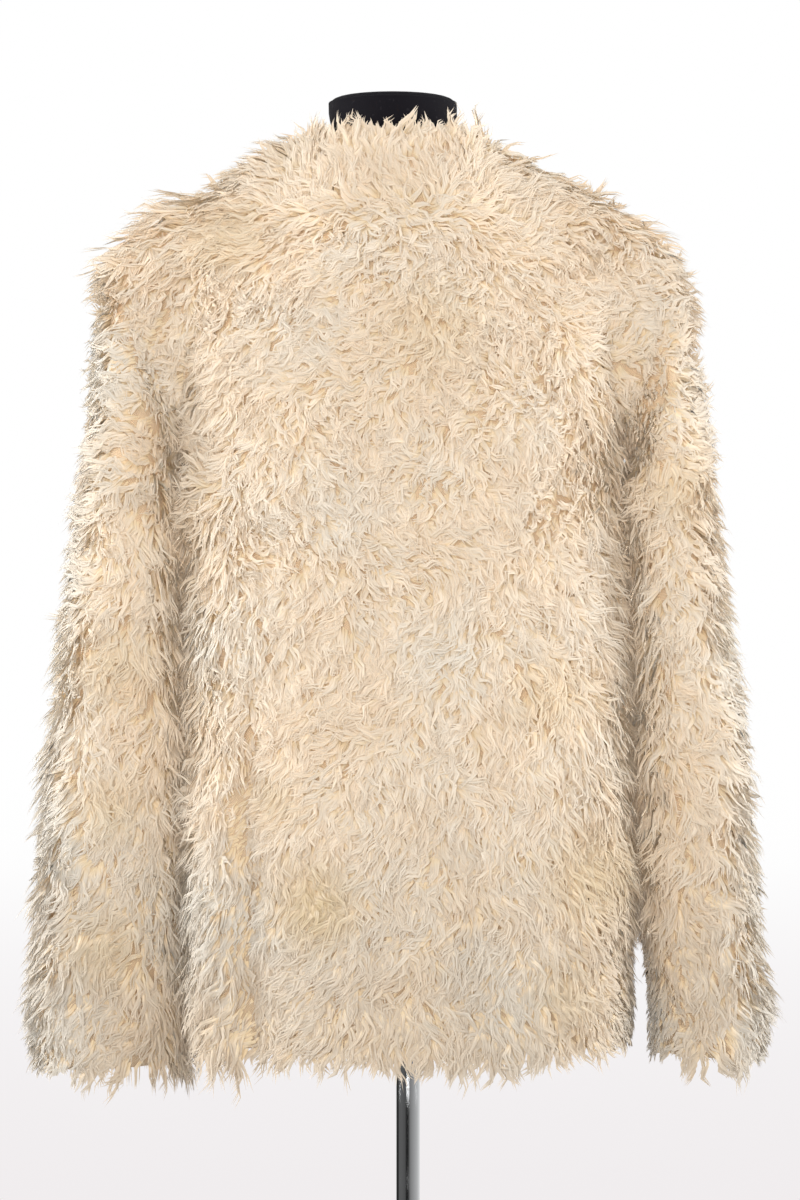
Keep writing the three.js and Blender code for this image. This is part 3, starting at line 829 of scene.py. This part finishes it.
def lock_lines(rng, roots, normals, push, lean, calm, layer):
    """The middle line of every lock, from root to tip, the way across it, and its length."""
    count, steps = len(roots), layer["steps"]
    lie, across = lie_of_pile(rng, roots, normals, lean, calm)
    stray = rng.normal(0, layer["stray"], count)
    lie, across = turn_to(lie, across, stray), turn_to(across, -lie, stray)
    share = length_share(rng, roots, normals, push)
    length = pile_value(roots, 3) * layer["long"] * share * rng.uniform(0.8, 1.15, count)
    wavy = pile_value(roots, 2) * rng.uniform(0.6, 1.2, count)
    stand = pile_value(roots, 4) + STAND_WANDERS * wander(roots, stand_waves)
    stand = layer["stand"] * (stand + STAND_IN_GAP * between(roots, normals))
    stand = stand + STAND_OUTERMOST * outermost(roots, normals) + rng.normal(0, 0.10, count)
    first = np.radians(rng.normal(layer["rise"], 7, count))
    turns = rng.uniform(0.8, 1.25, count)
    phase = 2.6 * wander(roots, phase_waves) + rng.normal(0, 0.5, count)
    points = [roots]
    for step in range(steps):
        share = (step + 0.5) / steps
        rise = first * (1 - share) ** 1.2 + stand
        sway = wavy * np.sin(2 * math.pi * turns * share + phase) * min(1, 2 * share)
        way = turn_to(turn_to(lie, across, sway), normals, rise)
        way[:, 2] -= SAG * share
        points.append(points[-1] + unit(way) * (length / steps)[:, None])
    return np.stack(points, 1), across, length


print("lock lines ready")


# %% Ribbons of the locks
SURFACE_SHARE = 2.2  # how much of a ribbon's shading follows the coat rather than the ribbon
ROUNDNESS = 0.35  # how far its edges lean away, as a round strand's do
PUFF = 0.70  # how far the shading of the sides leans round to the back and the front
PUFF_WITHIN = 30 * MM
SIDEWAYS = 0.75  # how far the outer side of a sleeve is shaded as if it were flat
ROLL = 0.35  # how far ribbons are rolled about their own length, as an angle
ROLL_AT_SIDES = 0.70  # and at the sides and the ridge, where flat ribbons would turn dark backs out


def lock_ribbons(rng, lines, across, normals, length, layer):
    """One ribbon beside each line: its left and right edges, and its rounded normals."""
    count, rows = lines.shape[:2]
    share = np.linspace(0, 1, rows)
    turn = rng.uniform(0, 2 * math.pi, count)
    reach = layer["spread"] * np.sqrt(rng.random(count))
    lie = np.cross(across, normals)
    aside = turn_to(across, lie, turn) * reach[:, None]
    shut = 1 - layer["close"] * share**0.7
    fray = rng.normal(0, 0.04, (count, 3)) * length[:, None]
    middle = lines + aside[:, None] * shut[None, :, None]
    middle = middle + fray[:, None] * (share**2)[None, :, None]
    way = unit(np.gradient(middle, axis=1))
    flat = unit(np.cross(way, normals[:, None]))
    flat_on = ramp(np.abs(normals[:, 1]), 0.40, 0.80)
    most = ROLL_AT_SIDES + (ROLL - ROLL_AT_SIDES) * flat_on
    roll = (rng.normal(0, 1, count) * most)[:, None]
    side = turn_to(flat, np.cross(way, flat), roll)
    facing = np.cross(side, way)
    full = (0.62 + 0.38 * np.sin(math.pi * share**0.8)) * (1 - share**2.6)
    half = (layer["width"] * rng.uniform(0.75, 1.3, count))[:, None, None] * full[None, :, None] / 2
    toward = np.sign((facing * normals[:, None]).sum(-1, keepdims=True) + 1e-9)
    puffed = normals.copy()
    puffed[:, 1] += PUFF * np.tanh(lines[:, 0, 1] / PUFF_WITHIN)
    puffed[:, 1] *= 1 - SIDEWAYS * outermost(lines[:, 0], normals)
    soft = unit(facing * toward + SURFACE_SHARE * unit(puffed)[:, None])
    left, right = unit(soft - ROUNDNESS * side), unit(soft + ROUNDNESS * side)
    return middle - side * half, middle + side * half, left, right, soft


def both_edges(left, right, tip):
    body = np.stack([left[:, :-1], right[:, :-1]], 2).reshape(len(left), -1, 3)
    return np.concatenate([body, tip], 1)


def ribbon_mesh(name, parts, values):
    """One mesh of all the ribbons, with the values that their finish reads."""
    left, right, left_normals, right_normals, soft = parts
    count, rows = left.shape[:2]
    points = both_edges(left, right, (left[:, -1:] + right[:, -1:]) / 2)
    shading = both_edges(left_normals, right_normals, soft[:, -1:])
    each = 2 * (rows - 1) + 1
    quads = np.array([(2 * r, 2 * r + 1, 2 * r + 3, 2 * r + 2) for r in range(rows - 2)])
    last = np.array([2 * rows - 4, 2 * rows - 3, 2 * rows - 2])
    corners = np.concatenate([quads.ravel(), last])
    sizes = np.array([4] * len(quads) + [3])
    loops = (np.arange(count)[:, None] * each + corners).ravel()
    totals = np.tile(sizes, count)
    starts = np.concatenate([[0], np.cumsum(totals)[:-1]])
    mesh = bpy.data.meshes.new(name)
    mesh.vertices.add(count * each)
    mesh.loops.add(len(loops))
    mesh.polygons.add(len(totals))
    mesh.vertices.foreach_set("co", points.astype(np.float32).ravel())
    mesh.loops.foreach_set("vertex_index", loops.astype(np.int32))
    mesh.polygons.foreach_set("loop_start", starts.astype(np.int32))
    mesh.update(calc_edges=True)
    along = np.concatenate([np.repeat(np.linspace(0, 1, rows)[:-1], 2), [1]])
    beside = np.concatenate([np.tile([-1.0, 1.0], rows - 1), [0]])
    point_values = {
        "along": np.tile(along, count),
        "across": np.tile(beside, count),
        "tone": np.repeat(values["tone"], each),
        "streak": np.repeat(values["streak"], each),
    }
    for key, numbers_given in point_values.items():
        made = mesh.attributes.new(key, "FLOAT", "POINT")
        made.data.foreach_set("value", numbers_given.astype(np.float32))
    lay_map(mesh, count, along, beside, corners)
    mesh.normals_split_custom_set_from_vertices(shading.reshape(-1, 3).astype(np.float32))
    return mesh


def lay_map(mesh, count, along, beside, corners):
    """A map on which each ribbon has a small upright cell of its own."""
    tall = 4
    columns = math.ceil(math.sqrt(count * tall))
    lines = math.ceil(count / columns)
    cell = np.arange(count)
    u = ((cell % columns)[:, None] + 0.5 + 0.36 * beside[corners]) / columns
    v = ((cell // columns)[:, None] + 0.06 + 0.88 * along[corners]) / lines
    layer = mesh.uv_layers.new(name="OFBake")
    layer.uv.foreach_set("vector", np.stack([u, v], 2).astype(np.float32).ravel())


print("ribbon helpers ready")

# %% [markdown]
# ## Laying the pile
# Two layers go on each piece of cloth. The under layer is shorter and wider and closes the view
# to the ground. The top layer has the long locks, whose tips make the outline. Each layer is one
# joined mesh. The back carries the most, because there the pile is looked at from nearest.


# %% Table of layers, and how many locks each piece has
layers = {
    "under": {
        "ribbons": 3, "steps": 3, "spread": 3.4 * MM, "width": 3.2 * MM, "long": 0.80,
        "rise": 26, "stand": 0.4, "stray": 0.30, "close": 0.4,
    },
    "locks": {
        "ribbons": 4, "steps": 4, "spread": 2.6 * MM, "width": 1.9 * MM, "long": 1.0,
        "rise": 31, "stand": 0.7, "stray": 0.14, "close": 0.6,
    },
}
piles_wanted = {
    # node: (locks of the under layer, locks of the top layer, calm)
    "coat_back": (11800, 7000, 1.0),
    "coat_front_left": (2700, 1700, 0.8),
    "coat_front_right": (2700, 1700, 0.8),
    "sleeve_left": (6400, 3700, SLEEVE_CALM),
    "sleeve_right": (6100, 3500, SLEEVE_CALM),
}
THIN = 1.0  # fewer locks, and wider, while trying things


# %% Lay a layer of locks
def lay(layer_name, node_name, locks, calm, seed):
    """One layer of the pile on one piece, as one mesh."""
    layer = dict(layers[layer_name])
    layer["width"] /= math.sqrt(THIN)
    rng = np.random.default_rng(seed)
    locks = int(locks * THIN)
    roots, normals = scatter(rng, skins[node_name], locks)
    push = push_of(roots, creases[node_name])
    lean = parted(roots, creases[node_name])
    lines, across, length = lock_lines(rng, roots, normals, push, lean, calm, layer)
    tone = rng.random(locks)
    again = np.repeat(np.arange(locks), layer["ribbons"])
    shrink = rng.uniform(0.82, 1.0, len(again))[:, None, None]
    own_lines = lines[again][:, :1] * (1 - shrink) + lines[again] * shrink
    parts = lock_ribbons(rng, own_lines, across[again], normals[again], length[again], layer)
    values = {
        "tone": (tone[again] + rng.normal(0, 0.12, len(again))).clip(0, 1),
        "streak": rng.uniform(0, 50, len(again)),
    }
    name = "pile_" + node_name.replace("coat_", "") + "_" + layer_name
    obj = shown(name, ribbon_mesh(name, parts, values), locks_finish)
    print(name, locks, "locks", len(again) * (2 * layer["steps"] - 1), "triangles")
    return obj


piles = {
    node_name: [
        lay("under", node_name, under, calm, 100 + seed),
        lay("locks", node_name, top, calm, 200 + seed),
    ]
    for seed, (node_name, (under, top, calm)) in enumerate(piles_wanted.items())
}

# %% [markdown]
# ## The form
# The form's shape is right as constructed, but its facets show at the neck, which is the one part
# that the coat leaves bare. Rounding alone would melt the neck's rim and shrink it. So the rim
# is bevelled first, and the close rows of the bevel hold it. The jersey is drawn over a pad at
# the neck's end, which stands a little proud.

# %% Round the form
RIM = 7 * MM
PAD_PROUD = 3.5 * MM
PAD_WIDER = 4 * MM

form = shown("form_body", skin_of("form_torso", whole=True), jersey_finish)
rim = form.modifiers.new("rim", "BEVEL")
rim.limit_method = "ANGLE"
rim.angle_limit = math.radians(50)
rim.width = RIM
rim.segments = 3
rim.use_clamp_overlap = False
settle(form)
subdivided(form, 1)
places = of_vertices(form, "co")
neck_end = ramp(places[:, 2], 1.140, 1.156)
places[:, 2] += PAD_PROUD * neck_end
places[:, 0] += PAD_WIDER * neck_end * ramp(places[:, 0], -0.040, 0.060)
move_to(form, places)
print("form faces", len(form.data.polygons))

# %% [markdown]
# ## The stand
# Pole, collar, socket, flange and base are turned, so each is a profile swept once round the
# pole's axis. A plain sweep leaves edges sharper than any plated part has. The profile's own
# corners are rounded first, which costs only a few faces.


# %% Turned pieces
def turned(node_name, profile, edge):
    """A turned piece from a profile of (radius, height) pairs, in metres, with rounded edges."""
    name = "stand_" + node_name.split("_")[-1]
    mesh = bpy.data.meshes.new(name)
    steps = [(i, i + 1) for i in range(len(profile) - 1)]
    mesh.from_pydata([(radius, 0, height) for radius, height in profile], steps, [])
    obj = shown(name, mesh, chrome_finish)
    rounding = obj.modifiers.new("rounded edges", "BEVEL")
    rounding.affect = "VERTICES"
    rounding.width = edge
    rounding.segments = 4
    turning = obj.modifiers.new("turning", "SCREW")
    turning.steps = turning.render_steps = 96
    turning.use_merge_vertices = True
    turning.merge_threshold = WELD
    turning.use_normal_calculate = True
    settle(obj)
    obj.data.shade_smooth()
    even = obj.modifiers.new("even shading", "WEIGHTED_NORMAL")
    even.keep_sharp = False
    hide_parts(node_name)
    print(name, "faces", len(obj.data.polygons))
    return obj


def measures(node_name):
    """The radius of a turned piece, and the heights of its two ends."""
    low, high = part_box(node_name)
    return (high.x - low.x) / 2, low.z, high.z


# %% Turn the stand
BORE_GAP = 0.3 * MM
wide, low, high = measures("pole")
bore, roof = wide + BORE_GAP, high + BORE_GAP
profile = [(0, low), (wide, low), (wide, high), (0, high)]
stand = [turned("pole", profile, 0.6 * MM)]

wide, low, high = measures("pole_collar")
neck = wide - 7.6 * MM
profile = [
    (bore, low), (wide, low), (wide, low + 6 * MM), (neck, low + 10 * MM), (neck, high),
    (bore, high), (bore, low),
]
stand.append(turned("pole_collar", profile, 0.8 * MM))

wide, low, high = measures("pole_socket")
profile = [(0, roof), (bore, roof), (bore, low), (wide, low), (wide, high), (0, high)]
stand.append(turned("pole_socket", profile, 0.8 * MM))

wide, low, high = measures("form_flange")
profile = [(0, low), (wide, low), (wide, high), (0, high)]
stand.append(turned("form_flange", profile, 1.2 * MM))

wide, low, high = measures("base")
profile = [
    (0, low), (wide, low), (wide, low + 6 * MM), (wide - 3 * MM, low + 9 * MM),
    (wide / 2, high - 1 * MM), (0.19 * wide, high), (0, high),
]
stand.append(turned("base", profile, 1.5 * MM))

# %% [markdown]
# ## The studio
# The coat was made to be seen in a white studio. The floor runs far out and curves up all round
# into a wall, so that no view shows an edge. Near the stand it is plain pale card, which takes
# a soft shadow. Farther out it glows as a lit backdrop does, and turns from grey to white.

# %% Floor and backdrop
FLOOR_RADIUS = 7.0
SWEEP_RADIUS = 4.0
WALL_HEIGHT = 9.0
CARD_TO, GLOW_FROM, WHITE_FROM = 0.5, 1.6, 8.5  # distances out
NEAR_GLOW = (0.868, 0.838, 0.848, 1)

outline = [(radius, 0.0) for radius in (0.6, 1.5, 3.0, 5.0, FLOOR_RADIUS)]
for step in range(1, 13):
    turn = step / 12 * math.pi / 2
    reach = FLOOR_RADIUS + SWEEP_RADIUS * math.sin(turn)
    outline.append((reach, SWEEP_RADIUS * (1 - math.cos(turn))))
outline.append((FLOOR_RADIUS + SWEEP_RADIUS, WALL_HEIGHT))
mesh = bpy.data.meshes.new("studio")
around = 96
points = [
    (r * math.cos(2 * math.pi * a / around), r * math.sin(2 * math.pi * a / around), z)
    for r, z in outline
    for a in range(around)
]
faces = [list(range(around))]
for ring in range(len(outline) - 1):
    for a in range(around):
        b = (a + 1) % around
        inner_ring, outer_ring = ring * around, (ring + 1) * around
        faces.append([inner_ring + b, inner_ring + a, outer_ring + a, outer_ring + b])
mesh.from_pydata(points, [], faces)
CARD = {"Base Color": (0.88, 0.86, 0.87, 1), "Roughness": 0.9, "Specular IOR Level": 0.1}
card, tree, shader = finish_named("studio_card", CARD)
far = node(tree, "VectorMath", {0: place_of(tree)}, operation="LENGTH").outputs["Value"]
glow_colour = mix(tree, remap(tree, far, CARD_TO, WHITE_FROM), NEAR_GLOW, (1, 1, 1, 1))
glow = node(tree, "Emission", {"Color": glow_colour}).outputs[0]
glowing = remap(tree, far, CARD_TO, GLOW_FROM)
both = node(tree, "MixShader", {0: glowing, 1: shader.outputs[0], 2: glow})
tree.links.new(both.outputs[0], tree.nodes["Material Output"].inputs["Surface"])
studio = shown("studio", mesh, card)
studio.visible_diffuse = False
studio.visible_glossy = False
studio.visible_shadow = False
studio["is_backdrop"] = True
print("studio", len(faces), "faces")

# %% [markdown]
# ## Light
# Fleece looks its best in wide soft light. Light from one side draws every lock with a shadow,
# and turns a pale coat harsh. So four big boxes stand square round the coat, each behind a
# place to look from, where the gaps that are seen are the gaps it fills. A small one above
# brightens the shoulders, and a pale sky fills what is left.


# %% Lights
def softbox(name, place, target, size, watts, tint=(1, 1, 1)):
    light = bpy.data.lights.new(name, "AREA")
    light.shape = "RECTANGLE"
    light.size, light.size_y = size
    light.energy = watts
    light.color = tint
    obj = bpy.data.objects.new(name, light)
    obj.location = place
    away = np.array(target) - np.array(place)
    flat = math.hypot(away[0], away[1])
    obj.rotation_euler = (math.atan2(flat, -away[2]), 0, math.atan2(-away[0], away[1]))
    scene.collection.objects.link(obj)


CHEST = (0.0, 0.0, 0.80)
softbox("behind", (0.2, 4.2, 1.0), CHEST, (2.2, 2.2), 117)
softbox("left", (3.8, 0.2, 1.1), CHEST, (1.8, 2.0), 109, (0.98, 0.99, 1.0))
softbox("right", (-3.8, 0.2, 1.1), CHEST, (1.8, 2.0), 109, (0.98, 0.99, 1.0))
softbox("front", (-0.2, -4.2, 1.1), CHEST, (2.2, 2.2), 117)
softbox("above", (0.1, 0.3, 3.2), CHEST, (1.6, 1.6), 14)

# %% [markdown]
# ## The sky, and what the chrome mirrors
# Chrome has hardly a colour of its own: it shows the room. In an all-white room a chrome pole
# fades away, so a studio stands dark cards beside it. Here the cards are part of the sky. Only
# mirrored rays that run low see them, so the pole has its dark and grey stripes, and the coat
# is lit as before.

# %% Sky with dark cards
SKY = 0.33
room_tones = [
    # degrees from behind the coat round to its left, and how bright the room is there
    (-180, 0.93), (-131, 0.73), (-95, 0.50), (-57, 0.37), (-25, 0.25),
    (-12, 0.12), (-2, 0.02), (15, 0.012), (28, 0.09), (60, 0.12),
    (98, 0.12), (108, 0.02), (136, 0.012), (150, 0.31), (180, 0.93),
]
world = bpy.data.worlds.new("sky")
scene.world = world
world.use_nodes = True
tree = world.node_tree
sky = tree.nodes["Background"]
sky.inputs["Strength"].default_value = 1.0
way = node(tree, "SeparateXYZ", {0: node(tree, "TexCoord").outputs["Generated"]}).outputs
turn = node(tree, "Math", {0: way[0], 1: way[1]}, operation="ARCTAN2").outputs[0]
turn = node(tree, "MapRange", {0: turn, 1: -math.pi, 2: math.pi}).outputs[0]
room = node(tree, "ValToRGB", {0: turn})
stops = room.color_ramp.elements
for degrees, tone in room_tones[1:-1]:
    stops.new((degrees + 180) / 360)
for stop, (degrees, tone) in zip(stops, room_tones):
    stop.position = (degrees + 180) / 360
    stop.color = (tone, tone, tone, 1)
low_rays = remap(tree, way[2], 0.05, 0.25, 1.0, 0.0)
mirrored = node(tree, "LightPath").outputs["Is Glossy Ray"]
colour = mix(tree, times(tree, low_rays, mirrored), (SKY, SKY, SKY, 1), room.outputs[0])
tree.links.new(colour, sky.inputs["Color"])
print("sky with", len(room_tones), "room tones")

# %% [markdown]
# ## Joining the looks to the construction
# Every piece rides on the one body, and the constructed piece that each one stands for is hidden.

BODY = "root"
for piece, (node_name, width, length, area) in cut_pieces.items():
    sheet = sheets[piece]
    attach(sheet, BODY)
    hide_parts(node_name)
    for pile in piles[node_name]:
        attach(pile, BODY)
    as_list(piles[node_name])
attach(form, BODY)
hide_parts("form_torso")
for piece in stand:
    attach(piece, BODY)

# %% Sizes and the last check
new_bounds = [list(corner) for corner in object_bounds()]
for axis, label in enumerate("XYZ"):
    below = (cad_bounds[0][axis] - new_bounds[0][axis]) / MM
    above = (new_bounds[1][axis] - cad_bounds[1][axis]) / MM
    print(label, "grows by", round(below, 1), "mm and", round(above, 1), "mm")
print("triangles added:", sum(len(o.data.loop_triangles) for pile in piles.values() for o in pile))
